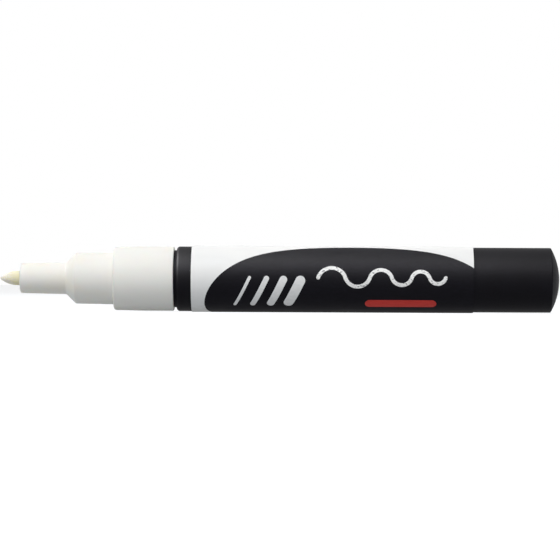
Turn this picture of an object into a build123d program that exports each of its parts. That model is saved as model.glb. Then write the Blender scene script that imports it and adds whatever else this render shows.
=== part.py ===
from build123d import *
import math
import os

# Liquid chalk marker with its cap off: a valve-action pen lying along X, nib towards -X.
# Sizes are millimetres. The origin is on the pen's axis at mid-length, and +Z is up.
# Pressing the nib pushes the valve stem back off its seat, and ink flows round the nib.

# Outside lengths, from the nib's tip to the tail
nib_exposed = 4.55
nose_tube_length = 10.42
nose_cone_length = 2.18
nose_middle_length = 8.65
cap_seat_length = 13.6
groove_width = 0.6
ring_length = 3.42
label_length = 63.32
tail_length = 17.56
tail_crown = 1.95

# Outside radii and the steps between them
nib_radius = 1.6
nose_radius = 3.39
barrel_radius = 7.3
cap_seat_relief = 0.05
nose_middle_step = 1.55
groove_depth = 0.8
label_film = 0.34
label_gap = 0.02
label_recess = 0.16
label_seam = 1.6
draft_angle = 1.0

# Rounded and chamfered edges
nose_front_round = 0.6
nose_cone_round = 0.4
cap_seat_front_round = 0.55
cap_seat_rear_round = 0.3
ring_round = 0.7
tail_round = 0.25
lead_in = 0.3

# Nose section
cap_land_length = 6.5
step_wall = 2.6
middle_wall = 1.8
cap_seat_wall = 1.2
nib_guide_overlap = 0.9
air_groove_count = 4
air_groove_width = 0.6
air_groove_depth = 0.45
guide_rib_count = 4
guide_rib_length = 6.0
guide_rib_thickness = 0.8
guide_rib_bite = 0.2

# Nib
nib_point_length = 3.9
nib_tip_round = 0.35
nib_clearance = 0.08
nib_travel = 1.8
nib_stop_gap = 0.5

# Barrel
barrel_wall = 1.2
tail_wall = 1.4
neck_wall = 1.1
neck_fit = 0.05
snap_bead_height = 0.25
snap_bead_half_width = 0.9
snap_bead_setback = 3.6

# Valve
valve_seat_thickness = 1.2
seal_lip_height = 0.3
seal_lip_width = 0.6
ink_gap = 0.7
seal_gap = 0.02
flange_thickness = 1.0
cage_clearance = 0.2
cage_wall = 0.9
cage_reach = 4.5
cage_end_wall = 1.0
window_count = 4
window_width = 2.4
window_length = 5.2
window_margin = 0.5
rod_radius = 1.0
rod_clearance = 0.08
rod_overhang = 1.2
stem_lash = 0.05
poppet_flow_gap = 1.1
poppet_thickness = 1.4
pilot_step = 0.4
pilot_length = 1.2

# Spring
spring_turns = 7
wire_radius = 0.25
wire_sides = 8
coil_clearance = 0.2
coil_end_gap = 0.05

# Mixing ball
ball_radius = 3.0
ball_clearance = 0.1


def draft_rise(length):
    """Growth in radius of a drafted wall over a length."""
    return length * math.tan(math.radians(draft_angle))


# Stations along the pen's outside
front_length = nib_exposed + nose_tube_length + nose_cone_length + nose_middle_length + cap_seat_length
rear_length = groove_width + ring_length + label_length + tail_length + tail_crown
x_tip = -(front_length + rear_length) / 2
x_nose = x_tip + nib_exposed
x_cone = x_nose + nose_tube_length
x_middle = x_cone + nose_cone_length
x_step = x_middle + nose_middle_length
x_nose_rear = x_step + cap_seat_length
x_land = x_nose_rear - cap_land_length
x_ring = x_nose_rear + groove_width
x_label = x_ring + ring_length
x_tail = x_label + label_length
x_edge = x_tail + tail_length
x_end = x_edge + tail_crown

# Radii of the walls, worked inwards from the outside
cap_seat_radius = barrel_radius - cap_seat_relief
middle_radius = cap_seat_radius - nose_middle_step
socket_radius = cap_seat_radius - cap_seat_wall
neck_radius = socket_radius - neck_fit
neck_bore_radius = neck_radius - neck_wall
chamber_radius = middle_radius - middle_wall
bore_radius = barrel_radius - barrel_wall
label_seat_radius = barrel_radius - label_recess
label_bore_radius = label_seat_radius + label_gap
label_radius = label_bore_radius + label_film
nib_bore_radius = nib_radius + nib_clearance
cage_radius = neck_bore_radius - cage_clearance
cage_bore_radius = cage_radius - cage_wall
guide_radius = rod_radius + rod_clearance
seat_hole_radius = rod_radius + ink_gap
poppet_radius = cage_bore_radius - poppet_flow_gap
pilot_radius = rod_radius + pilot_step
coil_radius = pilot_radius + coil_clearance + wire_radius

# Stations inside
x_guide_end = x_cone + nib_guide_overlap
x_chamber = x_guide_end + chamber_radius - nib_bore_radius
x_rib_end = x_chamber + guide_rib_length
x_socket = x_step + step_wall
x_flange = x_socket + valve_seat_thickness
x_rim = x_flange + flange_thickness
x_bead = x_rim + snap_bead_setback
x_bore = x_ring + bore_radius - neck_bore_radius
x_cage_end = x_ring + cage_reach
x_end_wall = x_cage_end - cage_end_wall
x_nib_rear = x_socket - nib_travel - nib_stop_gap
x_pin = x_nib_rear + stem_lash
x_poppet = x_flange + seal_lip_height + seal_gap
x_poppet_back = x_poppet + poppet_thickness
x_rod_end = x_cage_end + rod_overhang

# The nib's point is a long arc, tangent to the rod and to the small round tip
point_rise = nib_radius - nib_tip_round
point_radius = ((nib_point_length - nib_tip_round) ** 2 / point_rise + point_rise) / 2 + nib_tip_round
tip_share = nib_tip_round / (point_radius - nib_tip_round)
x_tip_arc_end = x_tip + nib_tip_round - tip_share * (nib_point_length - nib_tip_round)
tip_arc_end_radius = tip_share * (point_radius - nib_radius)

# The tail's dome and the hollow behind it share one centre
dome_radius = (barrel_radius**2 + tail_crown**2) / (2 * tail_crown)
x_dome = x_end - dome_radius
hollow_radius = dome_radius - tail_wall
x_hollow_edge = x_dome + math.sqrt(hollow_radius**2 - bore_radius**2)

# The ball rolls along the bottom of the bore, between the pressed stem and the tail
ball_drop = bore_radius - ball_radius - ball_clearance
ball_reach = math.sqrt((hollow_radius - ball_radius - ball_clearance) ** 2 - ball_drop**2)
x_ball_front = x_rod_end + nib_travel + ball_radius + ball_clearance
x_ball_rear = x_dome + ball_reach
x_ball = (x_ball_front + x_ball_rear) / 2

# The spring's wire runs between the back of the poppet and the cage's end wall
x_coil = x_poppet_back + coil_end_gap + wire_radius
coil_length = x_end_wall - coil_end_gap - wire_radius - x_coil
coil_pitch = coil_length / spring_turns

os.makedirs("parts", exist_ok=True)

# Nib: a bullet-pointed felt rod that slides in the nose
with BuildPart() as nib:
    with BuildSketch():
        with BuildLine():
            nib_point = TangentArc(
                (x_tip + nib_point_length, nib_radius),
                (x_tip_arc_end, tip_arc_end_radius),
                tangent=(-1, 0),
            )
            nib_tip = TangentArc(nib_point @ 1, (x_tip, 0), tangent=nib_point % 1)
            Polyline(
                nib_point @ 0,
                (x_nib_rear - lead_in, nib_radius),
                (x_nib_rear, nib_radius - lead_in),
                (x_nib_rear, 0),
                nib_tip @ 1,
            )
        make_face()
    revolve(axis=Axis.X)

# Nose section: a drafted moulding that guides the nib, holds the valve and carries the cap
with BuildPart() as nose_section:
    nose_corners = [
        (x_nose, nib_bore_radius, 0),
        (x_nose, nose_radius, nose_front_round),
        (x_cone, nose_radius + draft_rise(nose_tube_length), nose_cone_round),
        (x_middle, middle_radius, nose_cone_round),
        (x_step, middle_radius + draft_rise(nose_middle_length), 0),
        (x_step, cap_seat_radius - draft_rise(x_land - x_step), cap_seat_front_round),
        (x_land, cap_seat_radius, 0),
        (x_nose_rear, cap_seat_radius, cap_seat_rear_round),
        (x_nose_rear, socket_radius + lead_in, 0),
        (x_nose_rear - lead_in, socket_radius, 0),
        (x_bead + snap_bead_half_width, socket_radius, 0),
        (x_bead, socket_radius + snap_bead_height, 0),
        (x_bead - snap_bead_half_width, socket_radius, 0),
        (x_socket, socket_radius, 0),
        (x_socket, chamber_radius, 0),
        (x_chamber, chamber_radius, 0),
        (x_guide_end, nib_bore_radius, 0),
    ]
    with BuildSketch():
        with BuildLine():
            FilletPolyline(
                [(x, radius) for x, radius, _ in nose_corners],
                radius=[rounding for _, _, rounding in nose_corners],
                close=True,
            )
        make_face()
    revolve(axis=Axis.X)

    # Ribs that steady the nib's rear half in the ink chamber
    for rib in range(guide_rib_count):
        with BuildSketch(Plane.XY.rotated((360 * rib / guide_rib_count, 0, 0))):
            with BuildLine():
                Polyline(
                    (x_guide_end, nib_bore_radius),
                    (x_rib_end, nib_bore_radius),
                    (x_rib_end, chamber_radius + guide_rib_bite),
                    (x_chamber, chamber_radius + guide_rib_bite),
                    close=True,
                )
            make_face()
        extrude(amount=guide_rib_thickness / 2, both=True)

    # Air grooves along the nib's bore, between the ribs
    with BuildSketch(Plane.YZ.offset(x_nose)):
        with PolarLocations(nib_bore_radius, air_groove_count, start_angle=180 / air_groove_count):
            Rectangle(2 * air_groove_depth, air_groove_width)
    extrude(amount=x_chamber - x_nose, mode=Mode.SUBTRACT)

# Valve seat: a rubber washer with a raised lip that the poppet closes on
with BuildPart() as valve_seat:
    with BuildSketch():
        with BuildLine():
            Polyline(
                (x_socket, seat_hole_radius),
                (x_socket, neck_radius),
                (x_flange, neck_radius),
                (x_flange, seat_hole_radius + seal_lip_width),
                (x_flange + seal_lip_height, seat_hole_radius + seal_lip_width),
                (x_flange + seal_lip_height, seat_hole_radius),
                close=True,
            )
        make_face()
    revolve(axis=Axis.X)

# Valve housing: a windowed cage whose flange is clamped between the seat and the barrel's neck
with BuildPart() as valve_housing:
    with BuildSketch():
        with BuildLine():
            Polyline(
                (x_flange, cage_bore_radius),
                (x_flange, neck_radius),
                (x_rim, neck_radius),
                (x_rim, cage_radius),
                (x_cage_end, cage_radius),
                (x_cage_end, guide_radius),
                (x_end_wall, guide_radius),
                (x_end_wall, cage_bore_radius),
                close=True,
            )
        make_face()
    revolve(axis=Axis.X)
    rear_corners = valve_housing.edges().filter_by(GeomType.CIRCLE).group_by(Axis.X)[-1]
    chamfer(rear_corners.sort_by(SortBy.RADIUS)[-1], lead_in)

    # Ink windows, open to the barrel behind its neck
    for window in range(window_count):
        with BuildSketch(Plane.XY.rotated((360 * window / window_count, 0, 0))):
            with Locations((x_end_wall - window_margin - window_length / 2, 0)):
                SlotOverall(window_length, window_width)
        extrude(amount=cage_radius, mode=Mode.SUBTRACT)

# Valve stem: a pin that the nib pushes, the poppet, and a rod guided by the cage's end wall
with BuildPart() as valve_stem:
    with BuildSketch():
        with BuildLine():
            Polyline(
                (x_pin, 0),
                (x_pin, rod_radius - lead_in),
                (x_pin + lead_in, rod_radius),
                (x_poppet, rod_radius),
                (x_poppet, poppet_radius),
                (x_poppet_back - lead_in, poppet_radius),
                (x_poppet_back, poppet_radius - lead_in),
                (x_poppet_back, pilot_radius),
                (x_poppet_back + pilot_length, pilot_radius),
                (x_poppet_back + pilot_length + pilot_step, rod_radius),
                (x_rod_end - lead_in, rod_radius),
                (x_rod_end, rod_radius - lead_in),
                (x_rod_end, 0),
                close=True,
            )
        make_face()
    revolve(axis=Axis.X)


def coil_spot(turn):
    """Point on the spring wire's centre line, and the wire's direction there."""
    angle = 2 * math.pi * turn
    across = Vector(0, math.cos(angle), math.sin(angle))
    around = Vector(0, -math.sin(angle), math.cos(angle))
    spot = Vector(x_coil + coil_pitch * turn, 0, 0) + across * coil_radius
    heading = Vector(coil_pitch, 0, 0) + around * (2 * math.pi * coil_radius)
    return spot, heading.normalized()


# Valve spring: one wire, each quarter turn of it a pair of arcs that meet tangentially.
# The wire is many-sided, which keeps the coil's mesh light.
with BuildPart() as valve_spring:
    with BuildLine() as wire_path:
        for quarter in range(4 * spring_turns):
            start, start_heading = coil_spot(quarter / 4)
            finish, finish_heading = coil_spot((quarter + 1) / 4)
            chord = finish - start
            along = chord.dot(start_heading + finish_heading)
            spread = 2 * (1 - start_heading.dot(finish_heading))
            reach = (math.sqrt(along**2 + spread * chord.dot(chord)) - along) / spread
            first_knee = start + start_heading * reach
            second_knee = finish - finish_heading * reach
            meeting = (first_knee + second_knee) * 0.5
            TangentArc(start, meeting, tangent=start_heading)
            TangentArc(meeting, finish, tangent=second_knee - first_knee)
    with BuildSketch(Plane(origin=wire_path.line @ 0, z_dir=wire_path.line % 0)):
        RegularPolygon(wire_radius, wire_sides)
    sweep()

# Barrel: neck, ring and closed domed tail in one moulding, hollow for the ink
with BuildPart() as barrel:
    barrel_corners = [
        (x_hollow_edge, bore_radius, 0),
        (x_bore, bore_radius, 0),
        (x_ring, neck_bore_radius, 0),
        (x_rim, neck_bore_radius, 0),
        (x_rim, neck_radius - lead_in, 0),
        (x_rim + lead_in, neck_radius, 0),
        (x_bead - snap_bead_half_width, neck_radius, 0),
        (x_bead, neck_radius + snap_bead_height, 0),
        (x_bead + snap_bead_half_width, neck_radius, 0),
        (x_nose_rear, neck_radius, 0),
        (x_nose_rear, cap_seat_radius - groove_depth, 0),
        (x_ring, cap_seat_radius - groove_depth, 0),
        (x_ring, barrel_radius, ring_round),
        (x_label, barrel_radius, 0),
        (x_label, label_seat_radius, 0),
        (x_tail, label_seat_radius, 0),
        (x_tail, barrel_radius, 0),
        (x_edge, barrel_radius, 0),
    ]
    with BuildSketch():
        with BuildLine():
            FilletPolyline(
                [(x, radius) for x, radius, _ in barrel_corners],
                radius=[rounding for _, _, rounding in barrel_corners[1:-1]],
            )
            TangentArc((x_end, 0), (x_edge, barrel_radius), tangent=(0, 1))
            TangentArc((x_end - tail_wall, 0), (x_hollow_edge, bore_radius), tangent=(0, 1))
            Line((x_end - tail_wall, 0), (x_end, 0))
        make_face()
    revolve(axis=Axis.X)
    widest_rings = barrel.edges().filter_by(lambda edge: edge.is_closed).group_by(SortBy.RADIUS)[-1]
    fillet(widest_rings.sort_by(Axis.X)[-1], tail_round)

# Label sleeve: printed film wrapped round the barrel's shallow recess, between ring and tail.
# Its two edges stop just short of each other in a seam along the underside, and the pen lies on them.
with BuildPart() as label_sleeve:
    with BuildSketch(Plane.YZ.offset(x_label)):
        Circle(label_radius)
        Circle(label_bore_radius, mode=Mode.SUBTRACT)
        Rectangle(label_seam, label_radius, align=(Align.CENTER, Align.MAX), mode=Mode.SUBTRACT)
    extrude(amount=label_length)

# Mixing ball: loose steel ball lying on the bottom of the bore
with BuildPart() as mixing_ball:
    with Locations((x_ball, 0, -ball_drop)):
        Sphere(ball_radius)

# Least gap between one turn of the spring's wire and another, measured on points
steps_per_turn = 24
wire_spots = [coil_spot(step / steps_per_turn)[0] for step in range(steps_per_turn * spring_turns + 1)]
spot_gaps = [
    (here - there).length - 2 * wire_radius
    for index, here in enumerate(wire_spots)
    for there in wire_spots[index + steps_per_turn // 2 :]
]
print(f"least gap of the spring to itself: {min(spot_gaps):.2f} mm")
print(f"ball travel each way from rest: {(x_ball_rear - x_ball_front) / 2:.2f} mm")

nib.part.label = "nib"
nose_section.part.label = "nose_section"
valve_seat.part.label = "valve_seat"
valve_housing.part.label = "valve_housing"
valve_stem.part.label = "valve_stem"
valve_spring.part.label = "valve_spring"
barrel.part.label = "barrel"
label_sleeve.part.label = "label_sleeve"
mixing_ball.part.label = "mixing_ball"

export_step(nib.part, "parts/nib.step")
export_step(nose_section.part, "parts/nose_section.step")
export_step(valve_seat.part, "parts/valve_seat.step")
export_step(valve_housing.part, "parts/valve_housing.step")
export_step(valve_stem.part, "parts/valve_stem.step")
export_step(valve_spring.part, "parts/valve_spring.step")
export_step(barrel.part, "parts/barrel.step")
export_step(label_sleeve.part, "parts/label_sleeve.step")
export_step(mixing_ball.part, "parts/mixing_ball.step")
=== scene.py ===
"""A liquid chalk marker with its cap off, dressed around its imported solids.

The pen lies along X with its nib towards -X, and +Z is up. Sizes are written in millimetres and
become metres where a mesh is made.
"""

import logging
import math
from collections.abc import Iterable
from dataclasses import dataclass, field
from enum import Enum

import bmesh
import bpy
from bmesh.types import BMEdge, BMesh, BMFace, BMVert
from mathutils import Matrix, Vector


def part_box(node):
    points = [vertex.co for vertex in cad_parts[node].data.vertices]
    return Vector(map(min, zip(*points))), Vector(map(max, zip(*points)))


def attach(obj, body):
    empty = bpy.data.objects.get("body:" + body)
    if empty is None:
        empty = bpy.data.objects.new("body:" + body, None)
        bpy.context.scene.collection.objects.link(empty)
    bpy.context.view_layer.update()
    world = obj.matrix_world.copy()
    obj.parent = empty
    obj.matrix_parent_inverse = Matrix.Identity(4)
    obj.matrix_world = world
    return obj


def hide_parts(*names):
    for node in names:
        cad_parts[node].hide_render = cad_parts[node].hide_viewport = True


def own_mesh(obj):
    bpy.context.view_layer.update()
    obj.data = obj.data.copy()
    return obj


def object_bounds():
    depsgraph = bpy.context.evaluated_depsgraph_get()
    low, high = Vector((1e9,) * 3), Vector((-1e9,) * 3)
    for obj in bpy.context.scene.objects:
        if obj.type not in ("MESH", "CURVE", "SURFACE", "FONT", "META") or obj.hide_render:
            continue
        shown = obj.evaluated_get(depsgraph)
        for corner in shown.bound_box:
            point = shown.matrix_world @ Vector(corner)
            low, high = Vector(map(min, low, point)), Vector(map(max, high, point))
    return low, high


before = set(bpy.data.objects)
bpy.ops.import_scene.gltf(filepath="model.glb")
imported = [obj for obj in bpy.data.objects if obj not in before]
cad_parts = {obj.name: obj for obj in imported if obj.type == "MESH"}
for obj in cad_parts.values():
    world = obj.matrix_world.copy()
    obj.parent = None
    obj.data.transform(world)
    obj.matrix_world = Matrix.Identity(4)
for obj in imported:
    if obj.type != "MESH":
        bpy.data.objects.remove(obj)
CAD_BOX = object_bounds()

Pair = tuple[float, float]
Triple = tuple[float, float, float]
Constants = dict[str, float | tuple[float, ...]]

LOG = logging.getLogger("marker")
MM = 0.001
AXIS = (1.0, 0.0, 0.0)
ORIGIN = (0.0, 0.0, 0.0)
FULL_TURN = 2 * math.pi
# Steps of a full turn, an arc, a rounded corner, the label's oval and the round end of a printed line
TURN_STEPS, ARC_STEPS, ROUND_STEPS, OVAL_STEPS, END_STEPS = 144, 28, 6, 240, 8
WELD = 1e-6
SHARP_EDGE = math.radians(32)
# Numbers of the Mix node's sockets for colours, which share their names with others
MIX_A, MIX_B, MIX_COLOUR = 6, 7, 2


class Body(Enum):
    """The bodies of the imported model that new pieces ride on."""

    BARREL = "barrel"
    NIB = "nib"


class Slot(Enum):
    """The record's material slots; the pieces built here take their finish from their own materials
    instead.
    """

    NIB = "nib_felt"
    NOSE = "nose_plastic"
    SPRING = "spring_steel"
    BARREL = "barrel_plastic"
    LABEL = "label_film"


def linear(code: str) -> tuple[float, float, float, float]:
    """Turn an sRGB hex colour into linear values.

    Args:
        code: Six hex digits after a hash sign.

    Returns:
        Red, green, blue and alpha, each from 0 to 1.
    """
    shares = (int(code[start : start + 2], 16) / 255 for start in (1, 3, 5))
    light = [s / 12.92 if s <= 0.04045 else ((s + 0.055) / 1.055) ** 2.4 for s in shares]
    return light[0], light[1], light[2], 1.0


def cells(size: float) -> float:
    """Scale of a texture whose cells are this many millimetres wide."""
    return 1 / (size * MM)


def add_node(
    tree: bpy.types.NodeTree, kind: str, inputs: dict | None = None, settings: dict | None = None
) -> bpy.types.Node:
    """Add one node with its settings, and set or link its inputs.

    Args:
        tree: The node tree that gets the node.
        kind: Blender's name for the kind of node.
        inputs: A value or another node's output for each input, by name or number.
        settings: Properties of the node itself.

    Returns:
        The new node.
    """
    node = tree.nodes.new(kind)
    for name, value in (settings or {}).items():
        setattr(node, name, value)
    for key, value in (inputs or {}).items():
        if isinstance(value, bpy.types.NodeSocket):
            tree.links.new(value, node.inputs[key])
        else:
            node.inputs[key].default_value = value
    return node


@dataclass(frozen=True)
class Finish:
    """A surface as it was made: its colours, its gloss and its grain.

    Attributes:
        name: The real material's common name and how its surface was made.
        colour: Its main colour, as an sRGB hex value.
        second: The colour that patches of it drift to.
        roughness: Its roughness where it is smoothest.
        dulling: How much rougher its dullest places are.
        specular: Strength of the clear reflection; 0.5 is what the index alone gives.
        patch: Width of the colour's patches in millimetres.
        edges: The noise's values at which the first and the second colour are full.
        fade: Stations between which the second colour comes in along the pen, if it does.
        grain: Width of the grain in millimetres.
        stretch: Share of the scale along each axis; less than 1 draws the grain out.
        relief: Height of the grain in millimetres.
        relief_share: How much of that height shows.
        patch_detail: Finer layers in the noise of the patches.
        grain_detail: Finer layers in the noise of the grain.
        grain_edges: The grain's values at which the surface is smoothest and dullest.
        index: Its refractive index, where it isn't the shader's own.
    """

    name: str
    colour: str
    second: str
    roughness: float
    dulling: float = 0.1
    specular: float = 0.5
    patch: float = 5.0
    edges: Pair = (0.35, 0.7)
    fade: Pair | None = None
    grain: float = 0.3
    stretch: Triple = (1.0, 1.0, 1.0)
    relief: float = 0.012
    relief_share: float = 0.35
    patch_detail: float = 2.0
    grain_detail: float = 3.0
    grain_edges: Pair = (0.3, 0.7)
    index: float | None = None

    def material(self) -> bpy.types.Material:
        """Make the node material, or give back the one made before.

        Returns:
            The material, with its patches of colour and its grain in gloss and relief.
        """
        if self.name in bpy.data.materials:
            return bpy.data.materials[self.name]
        made = bpy.data.materials.new(self.name)
        made.use_nodes = True
        made.diffuse_color = linear(self.colour)
        tree = made.node_tree
        spot = add_node(tree, "ShaderNodeTexCoord").outputs["Object"]
        drawn = add_node(tree, "ShaderNodeMapping", {"Vector": spot, "Scale": self.stretch}).outputs[0]
        patches = {"Vector": drawn, "Scale": cells(self.patch), "Detail": self.patch_detail}
        patch = add_node(tree, "ShaderNodeTexNoise", patches).outputs[0]
        ends = {"Value": patch, "From Min": self.edges[0], "From Max": self.edges[1]}
        share = add_node(tree, "ShaderNodeMapRange", ends).outputs[0]
        if self.fade:
            along = add_node(tree, "ShaderNodeSeparateXYZ", {0: spot}).outputs[0]
            ends = {"Value": along, "From Min": self.fade[0] * MM, "From Max": self.fade[1] * MM}
            faded = add_node(tree, "ShaderNodeMapRange", ends).outputs[0]
            both = {"operation": "ADD", "use_clamp": True}
            share = add_node(tree, "ShaderNodeMath", {0: share, 1: faded}, both).outputs[0]
        colours = {0: share, MIX_A: linear(self.colour), MIX_B: linear(self.second)}
        colour = add_node(tree, "ShaderNodeMix", colours, {"data_type": "RGBA"}).outputs[MIX_COLOUR]
        grains = {"Vector": drawn, "Scale": cells(self.grain), "Detail": self.grain_detail}
        grain = add_node(tree, "ShaderNodeTexNoise", grains).outputs[0]
        ends = {"Value": grain, "From Min": self.grain_edges[0], "From Max": self.grain_edges[1]}
        gloss = {"To Min": self.roughness, "To Max": self.roughness + self.dulling}
        rough = add_node(tree, "ShaderNodeMapRange", {**ends, **gloss}).outputs[0]
        height = {"Height": grain, "Distance": self.relief * MM, "Strength": self.relief_share}
        normal = add_node(tree, "ShaderNodeBump", height).outputs[0]
        shader = tree.nodes["Principled BSDF"]
        for socket, value in (("Base Color", colour), ("Roughness", rough), ("Normal", normal)):
            tree.links.new(value, shader.inputs[socket])
        for socket, value in self.constants().items():
            shader.inputs[socket].default_value = value
        return made

    def constants(self) -> Constants:
        """Values that are the same all over the surface, by the shader's own names."""
        index = {"IOR": self.index} if self.index else {}
        return {"Specular IOR Level": self.specular, **index}


@dataclass(frozen=True)
class MouldedPlastic(Finish):
    """Injection-moulded plastic from a spark-eroded mould: an even satin skin with a fine grain.

    The mould's grain is about 0.05 mm wide, too fine to show in the render, so it is drawn coarser.
    The faint patches are where the wall cooled unevenly.

    Attributes:
        glow: Share of light that sinks in and comes out beside where it went in.
        glow_depth: How far it spreads, in millimetres.
    """

    index: float | None = 1.49
    glow: float = 0.0
    glow_depth: float = 0.6

    def constants(self) -> Constants:
        """The light that sinks into the plastic."""
        depth = {"Subsurface Weight": self.glow, "Subsurface Scale": self.glow_depth * MM}
        return {**super().constants(), **depth}


@dataclass(frozen=True)
class CoatedFilm(Finish):
    """Coated polypropylene film: smooth and satin, with the slight waviness of a wrapped label."""

    patch: float = 7.0
    grain: float = 1.6
    stretch: Triple = (0.35, 1.0, 1.0)
    relief: float = 0.015
    index: float | None = 1.49


@dataclass(frozen=True)
class PressInk(CoatedFilm):
    """Flexographic ink on that film: an even colour with the slight mottle of the printing plate.

    Real mottle is about 0.1 mm wide, too fine to show in the render, so it is drawn coarser.
    """

    patch: float = 0.5


@dataclass(frozen=True)
class ChalkInk(CoatedFilm):
    """White ink printed to look like a chalk line, with small gaps where chalk skips on a board.

    The gaps are those of a slate's grain, drawn as coarse as they need to show.
    """

    patch: float = 0.34
    edges: Pair = (0.55, 0.7)
    grain: float = 0.34
    stretch: Triple = (0.6, 1.0, 1.0)


@dataclass(frozen=True)
class PressedFelt(Finish):
    """Pressed polyester felt, ground to a point: fine fibres along the nib, dry and a little fuzzy.

    Real fibres are about 0.02 mm wide, too fine to show in the render, so they are drawn as bundles.

    Attributes:
        glow: Share of light that passes between the fibres.
        glow_depth: How far it spreads, in millimetres.
        glow_colours: Share of that for red, green and blue.
        sheen: Strength of the soft sheen of loose fibre ends.
        sheen_roughness: How soft that sheen is.
    """

    patch: float = 0.16
    edges: Pair = (0.3, 0.75)
    grain: float = 0.16
    stretch: Triple = (0.12, 1.0, 1.0)
    relief: float = 0.03
    relief_share: float = 0.4
    glow: float = 0.6
    glow_depth: float = 0.5
    glow_colours: Triple = (1.0, 0.9, 0.25)
    sheen: float = 0.2
    sheen_roughness: float = 0.6

    def constants(self) -> Constants:
        """The soft sheen of loose fibre ends, and light that passes between them, blue the least."""
        depth = {"Subsurface Weight": self.glow, "Subsurface Scale": self.glow_depth * MM}
        sheen = {"Sheen Weight": self.sheen, "Sheen Roughness": self.sheen_roughness}
        return {**super().constants(), **depth, **sheen, "Subsurface Radius": self.glow_colours}


@dataclass(frozen=True)
class SealRubber(Finish):
    """Moulded nitrile rubber: dark and dull, with a bloom of powder on its skin."""

    patch: float = 0.9
    edges: Pair = (0.4, 0.75)
    grain: float = 0.4
    index: float | None = 1.52


@dataclass(frozen=True)
class BrightSteel(Finish):
    """Bare steel, drawn or ground: a bright metal with fine lines left by the die or the wheel."""

    patch: float = 0.7
    grain: float = 0.08
    relief: float = 0.004
    relief_share: float = 0.3

    def constants(self) -> Constants:
        """A metal keeps the default index."""
        return {**super().constants(), "Metallic": 1.0}


# White polypropylene, satin from the mould: off-white; the warmer tint towards the thin tube at the front
# is painted light, the yellow glow of the felt nib on the tube
NOSE_PLASTIC = MouldedPlastic(
    "polypropylene_white_moulded", "#F2EEE2", "#F1F0EA", 0.4, 0.1, 0.015, fade=(-52.0, -34.0), glow=0.1
)
# Black polypropylene, satin from the mould: deep black, with a soft grey sheen under the light
BARREL_PLASTIC = MouldedPlastic("polypropylene_black_moulded", "#0C0B0F", "#0F0E13", 0.5, 0.1, 0.06)
# Natural acetal, as moulded: a cool translucent white
VALVE_PLASTIC = MouldedPlastic("acetal_natural_moulded", "#E9E8E2", "#DFDED6", 0.34, index=1.48)
# White coated film: cleaner and cooler than the nose
LABEL_FILM = CoatedFilm("polypropylene_film_white", "#F3F3F1", "#EEEFEE", 0.34, 0.08, 0.04)
# Black press ink: the same sheen as the barrel, a shade cooler
BLACK_INK = PressInk("press_ink_black", "#0D0C11", "#111016", 0.5, 0.1, 0.06)
# Red press ink: one warm signal red
RED_INK = PressInk("press_ink_red", "#CF3A32", "#C6342D", 0.36, 0.1, 0.2)
# White press ink, screened to a chalk line
CHALK_INK = ChalkInk("press_ink_chalk_white", "#F3F3F1", "#77777B", 0.5, 0.2, 0.2)
# White press ink, solid
WHITE_INK = PressInk("press_ink_white", "#EDEDEC", "#E4E5E5", 0.36, 0.1, 0.25)
# Pressed polyester felt, undyed: a pale cream that yellows between the fibres and towards the mouth
NIB_FELT = PressedFelt("polyester_felt_pressed", "#F5F1EF", "#E9E3C2", 0.8, 0.15, 0.1, fade=(-62.2, -57.4))
# Nitrile rubber, moulded: charcoal with a grey bloom
SEAT_RUBBER = SealRubber("nitrile_rubber_moulded", "#2A2A2B", "#3A3A3B", 0.62, 0.2)
# Spring steel, drawn to wire: bright, with lines along the wire
SPRING_STEEL = BrightSteel("spring_steel_drawn", "#B9B9B8", "#A3A3A2", 0.22, 0.14)
# Bearing steel, ground: brighter and smoother, with short lines
BALL_STEEL = BrightSteel("bearing_steel_ground", "#C6C6C6", "#B4B4B5", 0.12, 0.12, stretch=(0.3, 1.0, 1.0))


def tidy(mesh: BMesh) -> None:
    """Weld what meets and face everything outwards."""
    bmesh.ops.remove_doubles(mesh, verts=mesh.verts, dist=WELD)
    bmesh.ops.recalc_face_normals(mesh, faces=mesh.faces)


def only(kind: type, found: Iterable) -> list:
    """Pick the corners, edges or faces out of what an operator gives back."""
    return [element for element in found if isinstance(element, kind)]


def round_off(mesh: BMesh, corners: list[BMVert], start: float, steps: int) -> None:
    """Round corners of a line or of a flat print.

    Args:
        mesh: The mesh that holds them.
        corners: The corners.
        start: How far along each side the rounding starts.
        steps: How many steps it has.
    """
    bmesh.ops.bevel(
        mesh,
        geom=corners,
        offset=start,
        offset_type="OFFSET",
        segments=steps,
        profile=0.5,
        affect="VERTICES",
        material=-1,
    )


def sweep(
    mesh: BMesh, section: list, angle: float, steps: int, merge: bool = False, rise: float = 0.0
) -> None:
    """Sweep a section about the pen's axis.

    Args:
        mesh: The mesh that holds it.
        section: Its corners and edges.
        angle: How far round, in radians.
        steps: In how many steps.
        merge: Whether the last step meets the first; where it doesn't, open ends are closed.
        rise: How far it moves along the axis in each step, in metres.
    """
    bmesh.ops.spin(
        mesh,
        geom=section,
        cent=ORIGIN,
        axis=AXIS,
        dvec=(rise, 0.0, 0.0),
        angle=angle,
        steps=steps,
        use_merge=merge,
    )
    if not merge:
        bmesh.ops.holes_fill(mesh, edges=[edge for edge in mesh.edges if edge.is_boundary], sides=0)


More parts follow.
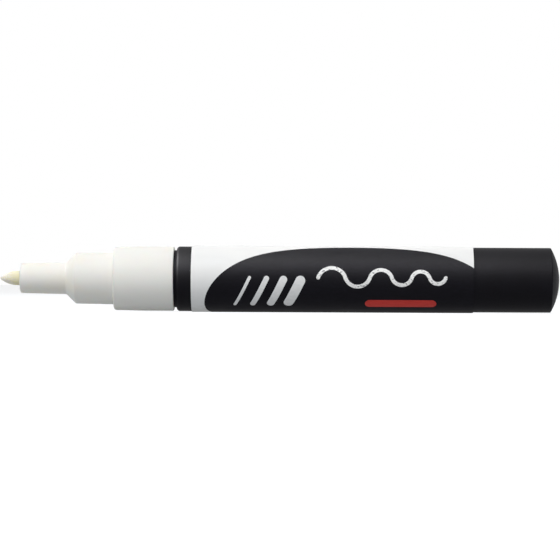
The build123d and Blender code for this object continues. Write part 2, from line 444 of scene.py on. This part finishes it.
class Lathe:
    """Draws half a section as corners and arcs, and turns it about the pen's axis."""

    def __init__(self) -> None:
        """Start with an empty line."""
        self.mesh = bmesh.new()
        self.line: list[BMVert] = []
        self.rounds: list[tuple[BMVert, float]] = []

    def corners(self, spots: Iterable[tuple[float, ...]]) -> None:
        """Carry the line on through corners.

        Args:
            spots: Station and radius of each corner, and its rounding where it has one.
        """
        for x, radius, *rounding in spots:
            spot = self.mesh.verts.new((x * MM, 0.0, radius * MM))
            if self.line:
                self.mesh.edges.new((self.line[-1], spot))
            if rounding:
                self.rounds.append((spot, rounding[0]))
            self.line.append(spot)

    def arc(self, centre: Pair, degrees: float) -> None:
        """Carry the line on round a point.

        Args:
            centre: Station and radius of that point.
            degrees: How far round, positive from -X up and over to +X.
        """
        x, radius = centre
        swept = bmesh.ops.spin(
            self.mesh,
            geom=[self.line[-1]],
            cent=(x * MM, 0.0, radius * MM),
            axis=(0.0, 1.0, 0.0),
            angle=math.radians(degrees),
            steps=ARC_STEPS,
            use_merge=False,
        )
        self.line.append(swept["geom_last"][0])

    def close(self) -> None:
        """Join the line's end to its start."""
        self.mesh.edges.new((self.line[-1], self.line[0]))

    def turn(self) -> BMesh:
        """Round the corners and turn the line into a closed surface.

        Returns:
            The turned mesh, welded and facing outwards.
        """
        for spot, rounding in self.rounds:
            ways = [edge.other_vert(spot).co - spot.co for edge in spot.link_edges]
            bend = math.pi - ways[0].angle(ways[1])
            round_off(self.mesh, [spot], rounding * MM * math.tan(bend / 2), ROUND_STEPS)
        sweep(self.mesh, self.mesh.verts[:] + self.mesh.edges[:], FULL_TURN, TURN_STEPS, merge=True)
        tidy(self.mesh)
        return self.mesh


def place(mesh: BMesh, name: str, finish: Finish, body: Body) -> bpy.types.Object:
    """Turn a built mesh into a piece that rides on a body.

    Args:
        mesh: The built mesh, in metres, where it belongs. It is freed.
        name: The piece's name.
        finish: What it is made of.
        body: The body that it rides on.

    Returns:
        The piece.
    """
    tidy(mesh)
    for face in mesh.faces:
        face.smooth = True
    for edge in mesh.edges:
        edge.smooth = edge.calc_face_angle(0.0) < SHARP_EDGE
    data = bpy.data.meshes.new(name)
    mesh.to_mesh(data)
    mesh.free()
    data.materials.append(finish.material())
    piece = bpy.data.objects.new(name, data)
    bpy.context.scene.collection.objects.link(piece)
    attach(piece, body.value)
    return piece


def span(node: str) -> Pair:
    """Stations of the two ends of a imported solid, in millimetres."""
    low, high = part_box(node)
    return low.x / MM, high.x / MM


@dataclass(frozen=True)
class SnapBead:
    """The rounded ridge on the barrel's neck, and the like groove in the nose, that snap together.

    Attributes:
        setback: From the neck's rim to the ridge's crest.
        half: Half its width.
        height: Its height.
    """

    setback: float = 3.6
    half: float = 0.9
    height: float = 0.25

    def corners(self, radius: float) -> list[Pair]:
        """Corners of the ridge on a wall of this radius, from front to rear."""
        crest = span("barrel")[0] + self.setback
        return [(crest - self.half, radius), (crest, radius + self.height), (crest + self.half, radius)]


@dataclass
class NoseSection:
    """The white nose: tube, cone, middle and cap seat in one moulding, with a socket behind.

    Attributes:
        tube_length: Length of the tube round the nib.
        tube_radius: Its radius at the mouth.
        mouth_round: Rounding of the mouth's edge.
        cone_length: Length of the short cone behind it.
        cone_round: Rounding at the cone's two ends.
        middle_length: Length of the middle, up to the step.
        middle_radius: Its radius behind the cone.
        step_round: Rounding of the step's edge.
        land_length: Length of the straight land that a cap slides on, at the rear.
        land_radius: Its radius.
        rear_round: Rounding of the rear edge.
        draft: Slope of the moulded walls in front of the land, in degrees.
        bore: Radius of the nib's bore.
        guide_overlap: How far the bore reaches behind the cone's front.
        groove_floor: Radius of the floor of the air grooves in the bore.
        groove_half: Half the angle that a groove takes, in degrees.
        chamber: Radius of the ink chamber.
        rib_length: Length of the ribs in the chamber.
        rib_half: Half the angle that a rib takes, in degrees.
        step_wall: Wall between the step and the socket.
        socket: Radius of the socket that takes the barrel's neck.
        lead_in: Chamfer at the socket's rim.
        sectors: How many air grooves there are, and as many ribs halfway between them.
        slack: How far off a face may lie and still count as in a plane or a wall.
        bead: The groove for the neck's ridge.
    """

    tube_length: float = 10.42
    tube_radius: float = 3.39
    mouth_round: float = 0.6
    cone_length: float = 2.18
    cone_round: float = 0.4
    middle_length: float = 8.65
    middle_radius: float = 5.7
    step_round: float = 0.55
    land_length: float = 6.5
    land_radius: float = 7.25
    rear_round: float = 0.3
    draft: float = 1.0
    bore: float = 1.68
    guide_overlap: float = 0.9
    groove_floor: float = 2.13
    groove_half: float = 10.0
    chamber: float = 3.9
    rib_length: float = 6.0
    rib_half: float = 5.0
    step_wall: float = 2.6
    socket: float = 6.05
    lead_in: float = 0.3
    sectors: int = 4
    slack: float = 0.01
    bead: SnapBead = SnapBead()

    def __post_init__(self) -> None:
        """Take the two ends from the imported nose, and work out where the bore and the ribs end."""
        self.mouth, self.rear = span("nose_section")
        self.bore_end = self.mouth + self.tube_length + self.guide_overlap
        self.rib_end = self.bore_end + self.chamber - self.bore + self.rib_length
        self.half_pitch = 180 / self.sectors

    def _outline(self) -> list[tuple[float, ...]]:
        """Work out the section, from the mouth along the outside and back through the inside.

        Returns:
            Station, radius and rounding of each corner.
        """
        cone = self.mouth + self.tube_length
        middle = cone + self.cone_length
        step = middle + self.middle_length
        land = self.rear - self.land_length
        slope = math.tan(math.radians(self.draft))
        outside = [
            (self.mouth, self.bore),
            (self.mouth, self.groove_floor),
            (self.mouth, self.tube_radius, self.mouth_round),
            (cone, self.tube_radius + self.tube_length * slope, self.cone_round),
            (middle, self.middle_radius, self.cone_round),
            (step, self.middle_radius + self.middle_length * slope),
            (step, self.land_radius - (land - step) * slope, self.step_round),
            (land, self.land_radius),
            (self.rear, self.land_radius, self.rear_round),
        ]
        inside = [
            (self.rear, self.socket + self.lead_in),
            (self.rear - self.lead_in, self.socket),
            *reversed(self.bead.corners(self.socket)),
            (step + self.step_wall, self.socket),
            (step + self.step_wall, self.chamber),
            (self.rib_end, self.chamber),
            (self.rib_end - self.rib_length, self.chamber),
            (self.bore_end, self.bore),
        ]
        return outside + inside

    def build(self) -> list[bpy.types.Object]:
        """Turn the nose, cut its air grooves and raise its ribs.

        Returns:
            The nose's one piece.
        """
        lathe = Lathe()
        lathe.corners(self._outline())
        lathe.close()
        mesh = lathe.turn()
        self._cut_grooves(mesh)
        self._raise_ribs(mesh)
        nose = place(mesh, "nose_shell", NOSE_PLASTIC, Body.BARREL)
        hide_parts("nose_section")
        return [nose]

    def _patch(self, mesh: BMesh, stations: Pair, radii: Pair, middle: float, half: float) -> list[BMFace]:
        """Find the faces of a ring in evenly spaced sectors.

        Args:
            mesh: The turned nose.
            stations: Where the patch starts and ends along the pen.
            radii: The least and greatest radius of its faces' middles.
            middle: Angle of the first sector's middle, in degrees.
            half: Half a sector's angle, in degrees.

        Returns:
            The faces in those sectors.
        """
        found = []
        for face in mesh.faces:
            x, y, z = face.calc_center_median() / MM
            past = math.degrees(math.atan2(z, y)) - middle
            turned = (past + self.half_pitch) % (2 * self.half_pitch) - self.half_pitch
            inside = stations[0] <= x <= stations[1] and radii[0] <= math.hypot(y, z) <= radii[1]
            if inside and abs(turned) < half:
                found.append(face)
        return found

    def _push(self, mesh: BMesh, faces: list[BMFace], radius: float) -> None:
        """Extrude faces of a wall straight in or out to a radius.

        Args:
            mesh: The turned nose.
            faces: The faces.
            radius: Where they end up.
        """
        pushed = bmesh.ops.extrude_face_region(mesh, geom=faces)["geom"]
        for spot in only(BMVert, pushed):
            share = radius * MM / math.hypot(spot.co.y, spot.co.z)
            spot.co.y *= share
            spot.co.z *= share

    def _cut_grooves(self, mesh: BMesh) -> None:
        """Cut the air grooves along the bore, open at the mouth."""
        low, high = self.mouth - self.slack, self.mouth + self.slack
        ring = (self.bore, self.groove_floor)
        sector = (self.half_pitch, self.groove_half)
        rim = self._patch(mesh, (low, high), ring, *sector)
        bmesh.ops.delete(mesh, geom=rim, context="FACES")
        wall = self._patch(mesh, (high, self.bore_end), (0, self.bore), *sector)
        self._push(mesh, wall, self.groove_floor)
        ends = self._patch(mesh, (low, high), ring, *sector)
        bmesh.ops.delete(mesh, geom=ends, context="FACES")
        tidy(mesh)

    def _raise_ribs(self, mesh: BMesh) -> None:
        """Raise the ribs that steady the nib's rear half in the ink chamber."""
        radii = (self.bore + self.slack, self.chamber)
        wall = self._patch(mesh, (self.bore_end, self.rib_end), radii, 0, self.rib_half)
        self._push(mesh, wall, self.bore)
        tidy(mesh)


@dataclass
class FeltNib:
    """The felt nib: a bullet point with a small round tip, on a long round rod.

    Attributes:
        point: Length of the point.
        radius: Radius of the rod.
        tip_round: Radius of the point's round tip.
        lead_in: Chamfer at the rod's rear end.
    """

    point: float = 3.9
    radius: float = 1.6
    tip_round: float = 0.35
    lead_in: float = 0.3

    def build(self) -> list[bpy.types.Object]:
        """Turn the nib from a small arc at its tip, a long arc tangent to the rod, and the rod.

        Returns:
            The nib's one piece.
        """
        tip, rear = span("nib")
        reach, rise = self.point - self.tip_round, self.radius - self.tip_round
        between = (reach**2 / rise + rise) / 2
        swing = math.degrees(math.asin(reach / between))
        lathe = Lathe()
        lathe.corners([(tip, 0.0)])
        lathe.arc((tip + self.tip_round, 0.0), 90 - swing)
        lathe.arc((tip + self.point, rise - between), swing)
        lathe.corners([(rear - self.lead_in, self.radius), (rear, self.radius - self.lead_in), (rear, 0.0)])
        nib = place(lathe.turn(), "felt_nib", NIB_FELT, Body.NIB)
        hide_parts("nib")
        return [nib]


@dataclass
class BarrelShell:
    """The black barrel: snap neck, groove, ring, label recess and domed tail in one moulding.

    Attributes:
        radius: Outside radius of the ring and tail.
        groove_width: Width of the dark groove between the nose and the ring.
        groove_floor: Radius of the groove's floor.
        ring_round: Rounding of the ring's front edge.
        label_seat: Radius of the recess that the label lies in.
        crown: Height of the tail's dome.
        tail_round: Rounding of the tail's edge.
        wall: Thickness of the dome.
        gate: Radius of the small recess where the plastic entered the mould.
        gate_depth: Depth of that recess.
        gate_draft: How much narrower its floor is.
        bore: Radius of the ink tube.
        neck: Radius of the neck that snaps into the nose.
        neck_bore: Radius of the neck's bore.
        lead_in: Chamfer at the neck's rim.
        bead: The neck's ridge.
    """

    radius: float = 7.3
    groove_width: float = 0.6
    groove_floor: float = 6.45
    ring_round: float = 0.7
    label_seat: float = 7.14
    crown: float = 1.95
    tail_round: float = 0.25
    wall: float = 1.4
    gate: float = 0.8
    gate_depth: float = 0.12
    gate_draft: float = 0.08
    bore: float = 6.1
    neck: float = 6.0
    neck_bore: float = 4.9
    lead_in: float = 0.3
    bead: SnapBead = SnapBead()

    def _outline(self) -> list[tuple[float, ...]]:
        """Work out the section from the ink tube's front, round the neck and along the outside.

        Returns:
            Station, radius and rounding of each corner, up to the tail's edge.
        """
        rim, end = span("barrel")
        groove = span("nose_section")[1]
        ring = groove + self.groove_width
        label, tail = span("label_sleeve")
        neck = [
            (ring + self.bore - self.neck_bore, self.bore),
            (ring, self.neck_bore),
            (rim, self.neck_bore),
            (rim, self.neck - self.lead_in),
            (rim + self.lead_in, self.neck),
            *self.bead.corners(self.neck),
        ]
        outside = [
            (groove, self.neck),
            (groove, self.groove_floor),
            (ring, self.groove_floor),
            (ring, self.radius, self.ring_round),
            (label, self.radius),
            (label, self.label_seat),
            (tail, self.label_seat),
            (tail, self.radius),
            (end - self.crown, self.radius, self.tail_round),
        ]
        return neck + outside

    def build(self) -> list[bpy.types.Object]:
        """Turn the barrel, hollow inside, with its dome.

        Returns:
            The barrel's one piece.
        """
        dome = (self.radius**2 + self.crown**2) / (2 * self.crown)
        centre = span("barrel")[1] - dome
        hollow = dome - self.wall
        lathe = Lathe()
        lathe.corners([(centre + hollow, 0.0)])
        lathe.arc((centre, 0.0), -math.degrees(math.asin(self.bore / hollow)))
        lathe.corners(self._outline())
        edge_angle, gate_angle = math.asin(self.radius / dome), math.asin(self.gate / dome)
        lathe.arc((centre, 0.0), math.degrees(edge_angle - gate_angle))
        floor = centre + dome * math.cos(gate_angle) - self.gate_depth
        lathe.corners([(floor, self.gate - self.gate_draft), (floor, 0.0)])
        barrel = place(lathe.turn(), "barrel_shell", BARREL_PLASTIC, Body.BARREL)
        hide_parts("barrel")
        return [barrel]


@dataclass
class LabelSleeve:
    """The film label, wrapped round the barrel until its two edges face each other across a seam.

    Attributes:
        bore: Radius of its inside.
        radius: Radius of its outside.
        seam: Gap between its two edges, along the underside.
    """

    bore: float = 7.16
    radius: float = 7.5
    seam: float = 1.6

    def __post_init__(self) -> None:
        """Take the label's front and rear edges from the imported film."""
        self.start, self.rear = span("label_sleeve")

    def build(self) -> list[bpy.types.Object]:
        """Bend the film's section round the barrel, up to the seam.

        Returns:
            The label's one piece.
        """
        mesh = bmesh.new()
        half = math.asin(self.seam / 2 / self.radius)
        section = (
            (self.start, self.bore),
            (self.start, self.radius),
            (self.rear, self.radius),
            (self.rear, self.bore),
        )
        loop = [mesh.verts.new((x * MM, 0.0, -radius * MM)) for x, radius in section]
        sides = [mesh.edges.new(pair) for pair in zip(loop, loop[1:] + loop[:1])]
        bmesh.ops.rotate(mesh, verts=loop, cent=ORIGIN, matrix=Matrix.Rotation(half, 3, AXIS))
        sweep(mesh, loop + sides, FULL_TURN - 2 * half, TURN_STEPS)
        sleeve = place(mesh, "label_wrap", LABEL_FILM, Body.BARREL)
        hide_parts("label_sleeve")
        return [sleeve]


@dataclass
class LabelPrint:
    """The plain design printed on the label: a dark panel, four strokes, a chalk line and a bar.

    It is drawn flat, in millimetres along the label from its front edge and round it from the side
    that faces the camera, upwards positive, and is then wrapped round the film.

    Attributes:
        sleeve: The label that it is printed on.
        proud: How far the panel stands on the film; ink is thinner, but two faces need a gap.
        strip: Width of the strips that let the ink bend round the film.
        margin: Bare film left along the seam.
        bleed: How far the panel runs past the label's rear edge, so that no bare film shows there.
        panel_middle: Middle of the oval panel.
        panel_half: Half its length and half its width.
        line_start: Where the chalk line starts.
        line_width: Its width.
        line_bend: Radius of its first bend.
        line_shrink: Size of each bend by the one before.
        line_bends: How many bends it has.
        line_lean: Half the angle of each bend, in degrees.
        bar_middle: Middle of the red bar.
        bar_size: Its length and width.
        stroke_middle: Middle of the first white stroke.
        stroke_step: Distance to the next one.
        stroke_length: Length of the strokes.
        stroke_lean: Their slope in degrees.
        stroke_widths: Their widths, from fine to broad.
        end_share: How far a round end goes towards the middle of its side; at 1 its corners would meet.
    """

    sleeve: LabelSleeve = field(default_factory=LabelSleeve)
    proud: float = 0.02
    strip: float = 0.35
    margin: float = 0.15
    bleed: float = 0.01
    panel_middle: Pair = (36.0, -6.0)
    panel_half: Pair = (33.0, 15.5)
    line_start: Pair = (28.5, 0.4)
    line_width: float = 0.85
    line_bend: float = 3.2
    line_shrink: float = 0.9
    line_bends: int = 6
    line_lean: float = 72.0
    bar_middle: Pair = (47.0, -6.0)
    bar_size: Pair = (16.0, 2.2)
    stroke_middle: Pair = (11.5, -3.0)
    stroke_step: float = 3.9
    stroke_length: float = 8.2
    stroke_lean: float = 64.0
    stroke_widths: tuple[float, ...] = (0.7, 1.2, 1.7, 2.2)
    end_share: float = 0.99

    def build(self) -> list[bpy.types.Object]:
        """Draw each ink flat and wrap it round the film.

        Returns:
            One piece for each ink, the panel first and the others on it.
        """
        inks = (
            (self._panel(), self.proud, "label_panel", BLACK_INK),
            (self._chalk_line(), 2 * self.proud, "label_chalk_line", CHALK_INK),
            (self._bar(), 2 * self.proud, "label_bar", RED_INK),
            (self._strokes(), 2 * self.proud, "label_strokes", WHITE_INK),
        )
        pieces = []
        for flat, proud, name, finish in inks:
            self._wrap(flat, proud)
            pieces.append(place(flat, name, finish, Body.BARREL))
        return pieces

    def _panel(self) -> BMesh:
        """Draw the dark oval, cut off along the label's rear edge and its seam.

        Returns:
            The flat panel.
        """
        flat = bmesh.new()
        bmesh.ops.create_circle(flat, cap_ends=True, segments=OVAL_STEPS, radius=1.0)
        bmesh.ops.scale(flat, vec=(*self.panel_half, 1.0), verts=flat.verts[:])
        bmesh.ops.translate(flat, vec=(*self.panel_middle, 0.0), verts=flat.verts[:])
        underside = -math.pi / 2 * self.sleeve.radius
        rear = (self.sleeve.rear - self.sleeve.start + self.bleed, 0.0, 0.0)
        seam = (0.0, underside + self.sleeve.seam / 2 + self.margin, 0.0)
        self._cut(flat, rear, (1.0, 0.0, 0.0), clear=True)
        self._cut(flat, seam, (0.0, -1.0, 0.0), clear=True)
        return flat

    def _cut(self, flat: BMesh, spot: Triple, way: Triple, clear: bool = False) -> None:
        """Cut a flat print along a straight line.

        Args:
            flat: The flat print.
            spot: A point on the line.
            way: The direction square to it.
            clear: Whether what lies that way is taken off.
        """
        bmesh.ops.bisect_plane(
            flat,
            geom=flat.verts[:] + flat.edges[:] + flat.faces[:],
            plane_co=spot,
            plane_no=way,
            clear_outer=clear,
        )

    def _chalk_line(self) -> BMesh:
        """Sweep the chalk line through its bends, each smaller than the one before.

        Returns:
            The flat line, with round ends.
        """
        flat = bmesh.new()
        lean = math.radians(self.line_lean)
        half = self.line_width / 2
        heading = Vector((math.cos(lean), math.sin(lean), 0.0))
        across = Vector((-math.sin(lean), math.cos(lean), 0.0))
        middle = Vector((*self.line_start, 0.0))
        ends = [flat.verts.new(middle - heading * half + across * way) for way in (half, -half)]
        stroke = self._lengthen(flat, [flat.edges.new(ends)], heading * half)
        bend, side = self.line_bend, 1
        for _ in range(self.line_bends):
            middle += Vector((bend * math.sin(lean), -side * bend * math.cos(lean), 0.0))
            stroke = bmesh.ops.spin(
                flat,
                geom=stroke,
                cent=middle,
                axis=(0.0, 0.0, 1.0),
                angle=-side * 2 * lean,
                steps=ARC_STEPS,
                use_merge=False,
            )["geom_last"]
            middle += Vector((bend * math.sin(lean), side * bend * math.cos(lean), 0.0))
            bend, side = bend * self.line_shrink, -side
        heading.y *= side
        stroke = self._lengthen(flat, only(BMEdge, stroke), heading * half)
        ends += only(BMVert, stroke)
        round_off(flat, ends, half * self.end_share, END_STEPS)
        return flat

    def _lengthen(self, flat: BMesh, rim: list[BMEdge], way: Vector) -> list[BMVert | BMEdge]:
        """Draw the end of a line out straight.

        Args:
            flat: The flat print.
            rim: The edge across the line's end.
            way: How far and which way.

        Returns:
            The new end's two corners and its edge.
        """
        drawn = bmesh.ops.extrude_edge_only(flat, edges=rim)["geom"]
        corners = only(BMVert, drawn)
        bmesh.ops.translate(flat, vec=way, verts=corners)
        return [*corners, flat.edges.get(corners)]

    def _draw_bar(self, flat: BMesh, middle: Pair, size: Pair, lean: float) -> None:
        """Draw one bar with round ends.

        Args:
            flat: The flat print that gets the bar.
            middle: Where its middle is.
            size: Its length and width.
            lean: Its slope in degrees.
        """
        corners = bmesh.ops.create_grid(flat, x_segments=1, y_segments=1, size=0.5)["verts"]
        bmesh.ops.scale(flat, vec=(*size, 1.0), verts=corners)
        turn = Matrix.Rotation(math.radians(lean), 3, "Z")
        bmesh.ops.rotate(flat, verts=corners, cent=ORIGIN, matrix=turn)
        bmesh.ops.translate(flat, vec=(*middle, 0.0), verts=corners)
        round_off(flat, corners, size[1] / 2 * self.end_share, END_STEPS)

    def _bar(self) -> BMesh:
        """Draw the red bar under the chalk line."""
        flat = bmesh.new()
        self._draw_bar(flat, self.bar_middle, self.bar_size, 0.0)
        return flat

    def _strokes(self) -> BMesh:
        """Draw a row of white strokes from fine to broad.

        Returns:
            The flat strokes.
        """
        flat = bmesh.new()
        along, around = self.stroke_middle
        for count, width in enumerate(self.stroke_widths):
            middle = (along + count * self.stroke_step, around)
            self._draw_bar(flat, middle, (self.stroke_length, width), self.stroke_lean)
        return flat

    def _wrap(self, flat: BMesh, proud: float) -> None:
        """Cut a flat print into strips, give it its thickness and bend it round the film.

        Args:
            flat: The flat print in millimetres, which becomes a wrapped one in metres.
            proud: How far its face stands on the film; its underside lies as deep in it.
        """
        levels = [spot.co.y for spot in flat.verts]
        level = min(levels) + self.strip / 2
        while level < max(levels):
            self._cut(flat, (0.0, level, 0.0), (0.0, 1.0, 0.0))
            level += self.strip
        lifted = bmesh.ops.extrude_face_region(flat, geom=flat.faces[:])["geom"]
        bmesh.ops.translate(flat, vec=(0.0, 0.0, 2 * proud), verts=only(BMVert, lifted))
        for spot in flat.verts:
            along, around, out = spot.co
            reach = (self.sleeve.radius - proud + out) * MM
            angle = around / self.sleeve.radius
            x = (self.sleeve.start + along) * MM
            spot.co = (x, -reach * math.cos(angle), reach * math.sin(angle))


@dataclass
class ValveWorks:
    """The valve inside: a wound return spring, and the solids that keep their own shape.

    Attributes:
        coil: Radius of the coil at the wire's middle.
        wire: Radius of the wire.
        wire_sides: Sides that its round section is drawn with.
        turns: Number of turns.
        turn_steps: Steps of each turn.
        travel: How far the nib presses the spring together; not used.
        play: Gap between the spring and the wall that it is pressed against; not used.
        kept: The finish of each solid that stays as it is.
    """

    coil: float = 1.85
    wire: float = 0.25
    wire_sides: int = 14
    turns: int = 7
    turn_steps: int = 44
    travel: float = 1.8
    play: float = 0.05
    kept: tuple[tuple[str, Finish], ...] = (
        ("valve_seat", SEAT_RUBBER),
        ("valve_housing", VALVE_PLASTIC),
        ("valve_stem", VALVE_PLASTIC),
        ("mixing_ball", BALL_STEEL),
    )

    def build(self) -> list[bpy.types.Object]:
        """Wind the spring and dress the solids inside.

        Returns:
            The spring and the dressed solids.
        """
        spring = place(self._coil(), "valve_coil", SPRING_STEEL, Body.BARREL)
        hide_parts("valve_spring")
        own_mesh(spring)
        solids = []
        for name, finish in self.kept:
            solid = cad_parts[name]
            solid.data.materials.clear()
            solid.data.materials.append(finish.material())
            solids.append(solid)
        return [spring, *solids]

    def _coil(self) -> BMesh:
        """Wind a round wire into the coil.

        Returns:
            The coil, with closed ends.
        """
        mesh = bmesh.new()
        front, rear = span("valve_spring")
        first, rise = front + self.wire, rear - front - 2 * self.wire
        steps = self.turn_steps * self.turns
        ring = bmesh.ops.create_circle(mesh, segments=self.wire_sides, radius=self.wire * MM)["verts"]
        heading = Vector((rise / self.turns, 0.0, FULL_TURN * self.coil)).normalized()
        turn = Vector((0.0, 0.0, 1.0)).rotation_difference(heading).to_matrix()
        bmesh.ops.rotate(mesh, verts=ring, cent=ORIGIN, matrix=turn)
        bmesh.ops.translate(mesh, verts=ring, vec=(first * MM, self.coil * MM, 0.0))
        wire = mesh.verts[:] + mesh.edges[:]
        sweep(mesh, wire, FULL_TURN * self.turns, steps, rise=rise * MM / steps)
        return mesh


class Reach(Enum):
    """What a lamp is for: a surface's colour, its gloss, or both."""

    BOTH = "both"
    COLOUR = "colour"
    GLOSS = "gloss"


@dataclass(frozen=True)
class Softbox:
    """One soft lamp, aimed at the pen.

    Attributes:
        name: What it is for.
        spot: Where it hangs, in metres from the pen's middle.
        size: Its width and height in metres.
        watts: Its power.
        reach: Whether it lights the surfaces, shows in their gloss, or does both.
    """

    name: str
    spot: Triple
    size: Pair
    watts: float
    reach: Reach = Reach.BOTH

    def hang(self) -> None:
        """Hang the lamp and aim it."""
        lamp = bpy.data.lights.new(self.name, "AREA")
        lamp.shape = "RECTANGLE"
        lamp.size, lamp.size_y = self.size
        lamp.energy = self.watts
        holder = bpy.data.objects.new(self.name, lamp)
        holder.location = self.spot
        holder.rotation_euler = (-Vector(self.spot)).to_track_quat("-Z", "Y").to_euler()
        holder.visible_camera = False
        holder.visible_diffuse = self.reach is not Reach.GLOSS
        holder.visible_glossy = self.reach is not Reach.COLOUR
        bpy.context.scene.collection.objects.link(holder)


@dataclass
class Studio:
    """A plain pale floor under soft lamps, in a white surround.

    Attributes:
        lamps: A large softbox above the camera, its bright middle as the gloss shows it, one aside
            that glints on rounded edges alone, a small one at the nib's end, and one behind.
        fill: Strength of the light from all round.
        fill_colour: Colour of that light.
        floor: Side of the floor in metres.
        floor_colour: Its colour.
        floor_glow: Light that it gives the pen from below, as a light table does.
        floor_lift: Light added to it where the camera sees it, up to plain white.
    """

    lamps: tuple[Softbox, ...] = (
        Softbox("key_softbox", (-0.1, -0.42, 0.68), (1.1, 0.6), 6.0, Reach.COLOUR),
        Softbox("sheen_softbox", (-0.3, -0.195, 0.567), (1.0, 0.36), 25.5, Reach.GLOSS),
        Softbox("glint_softbox", (-0.53, -0.04, 0.46), (0.3, 0.3), 35.0, Reach.GLOSS),
        Softbox("nib_softbox", (-0.4, -0.2, 0.16), (0.25, 0.25), 0.2),
        Softbox("back_softbox", (0.0, 0.55, 0.5), (1.1, 0.5), 1.5, Reach.COLOUR),
    )
    fill: float = 0.3
    fill_colour: str = "#F6F6FA"
    floor: float = 6.0
    floor_colour: str = "#888C90"
    floor_glow: float = 0.22
    floor_lift: float = 0.82

    def build(self) -> None:
        """Set the view, the surround, the lamps and the floor."""
        bpy.context.scene.view_settings.view_transform = "Standard"
        self._surround()
        for lamp in self.lamps:
            lamp.hang()
        self._lay_floor()

    def _shown(self, tree: bpy.types.NodeTree) -> bpy.types.NodeSocket:
        """Tell what the camera sees, straight or in a reflection, from what lights the pen.

        Args:
            tree: The node tree that asks.

        Returns:
            1 where it is seen and 0 where it only lights.
        """
        rays = add_node(tree, "ShaderNodeLightPath").outputs
        most = {"operation": "MAXIMUM"}
        mirrored = {0: rays["Is Glossy Ray"], 1: rays["Is Transmission Ray"]}
        either = add_node(tree, "ShaderNodeMath", mirrored, most).outputs[0]
        return add_node(tree, "ShaderNodeMath", {0: rays["Is Camera Ray"], 1: either}, most).outputs[0]

    def _surround(self) -> None:
        """Make the world white where it is seen, and a soft fill where it lights."""
        world = bpy.data.worlds.new("studio_surround")
        bpy.context.scene.world = world
        world.use_nodes = True
        tree = world.node_tree
        tree.nodes.clear()
        lights = {"Color": linear(self.fill_colour), "Strength": self.fill}
        seen = {"Color": (1.0, 1.0, 1.0, 1.0), "Strength": 1.0}
        backs = [add_node(tree, "ShaderNodeBackground", back).outputs[0] for back in (lights, seen)]
        mixed = add_node(tree, "ShaderNodeMixShader", {0: self._shown(tree), 1: backs[0], 2: backs[1]})
        add_node(tree, "ShaderNodeOutputWorld", {"Surface": mixed.outputs[0]})

    def _lay_floor(self) -> None:
        """Lay the pale floor under the pen, white where it is seen but for the pen's shadow."""
        mesh = bmesh.new()
        bmesh.ops.create_grid(mesh, x_segments=1, y_segments=1, size=self.floor / 2)
        bmesh.ops.translate(mesh, vec=(0.0, 0.0, CAD_BOX[0].z), verts=mesh.verts[:])
        data = bpy.data.meshes.new("studio_floor")
        mesh.to_mesh(data)
        mesh.free()
        paper = bpy.data.materials.new("studio_paper")
        paper.use_nodes = True
        tree = paper.node_tree
        tree.nodes.clear()
        matt = add_node(tree, "ShaderNodeBsdfDiffuse", {"Color": linear(self.floor_colour)}).outputs[0]
        sides = []
        for strength in (self.floor_glow, self.floor_lift):
            light = add_node(tree, "ShaderNodeEmission", {"Strength": strength}).outputs[0]
            sides.append(add_node(tree, "ShaderNodeAddShader", {0: matt, 1: light}).outputs[0])
        mixed = add_node(tree, "ShaderNodeMixShader", {0: self._shown(tree), 1: sides[0], 2: sides[1]})
        add_node(tree, "ShaderNodeOutputMaterial", {"Surface": mixed.outputs[0]})
        data.materials.append(paper)
        floor = bpy.data.objects.new("studio_floor", data)
        bpy.context.scene.collection.objects.link(floor)


@dataclass
class PhotoCamera:
    """The photograph's view: level with the pen and all but square to its side.

    Attributes:
        lens: Focal length in millimetres.
        sensor: Width of the sensor in millimetres.
        distance: From the pen's axis, in metres.
        middle: Station that it looks at, in millimetres.
        height: Above the pen's axis, in millimetres.
        swing: Turn about the upright in degrees, towards the tail.
        roll: Turn about the line of sight in degrees; the pen's tail hangs a little lower.
        near: The least distance that it sees, in metres.
    """

    lens: float = 199.15
    sensor: float = 36.0
    distance: float = 0.7
    middle: float = 0.15
    height: float = -0.18
    swing: float = 0.96
    roll: float = -0.25
    near: float = 0.01

    def build(self) -> None:
        """Place the camera and make it the scene's own."""
        data = bpy.data.cameras.new("photo_camera")
        data.lens = self.lens
        data.sensor_width = self.sensor
        data.clip_start = self.near
        camera = bpy.data.objects.new("photo_camera", data)
        swing = math.radians(self.swing)
        aside, back = self.distance * math.sin(swing), self.distance * math.cos(swing)
        camera.location = (self.middle * MM + aside, -back, self.height * MM)
        camera.rotation_euler = (math.pi / 2, math.radians(self.roll), swing)
        bpy.context.scene.collection.objects.link(camera)
        bpy.context.scene.camera = camera


def main() -> None:
    """Build every sub-assembly in order, light it, and aim the camera."""
    logging.basicConfig(level=logging.INFO, format="%(name)s: %(message)s")
    for assembly in (NoseSection(), FeltNib(), BarrelShell(), LabelSleeve(), LabelPrint(), ValveWorks()):
        for piece in assembly.build():
            LOG.info("%s, %s, %d faces", type(assembly).__name__, piece.name, len(piece.data.polygons))
    Studio().build()
    PhotoCamera().build()


if __name__ == "__main__":
    main()
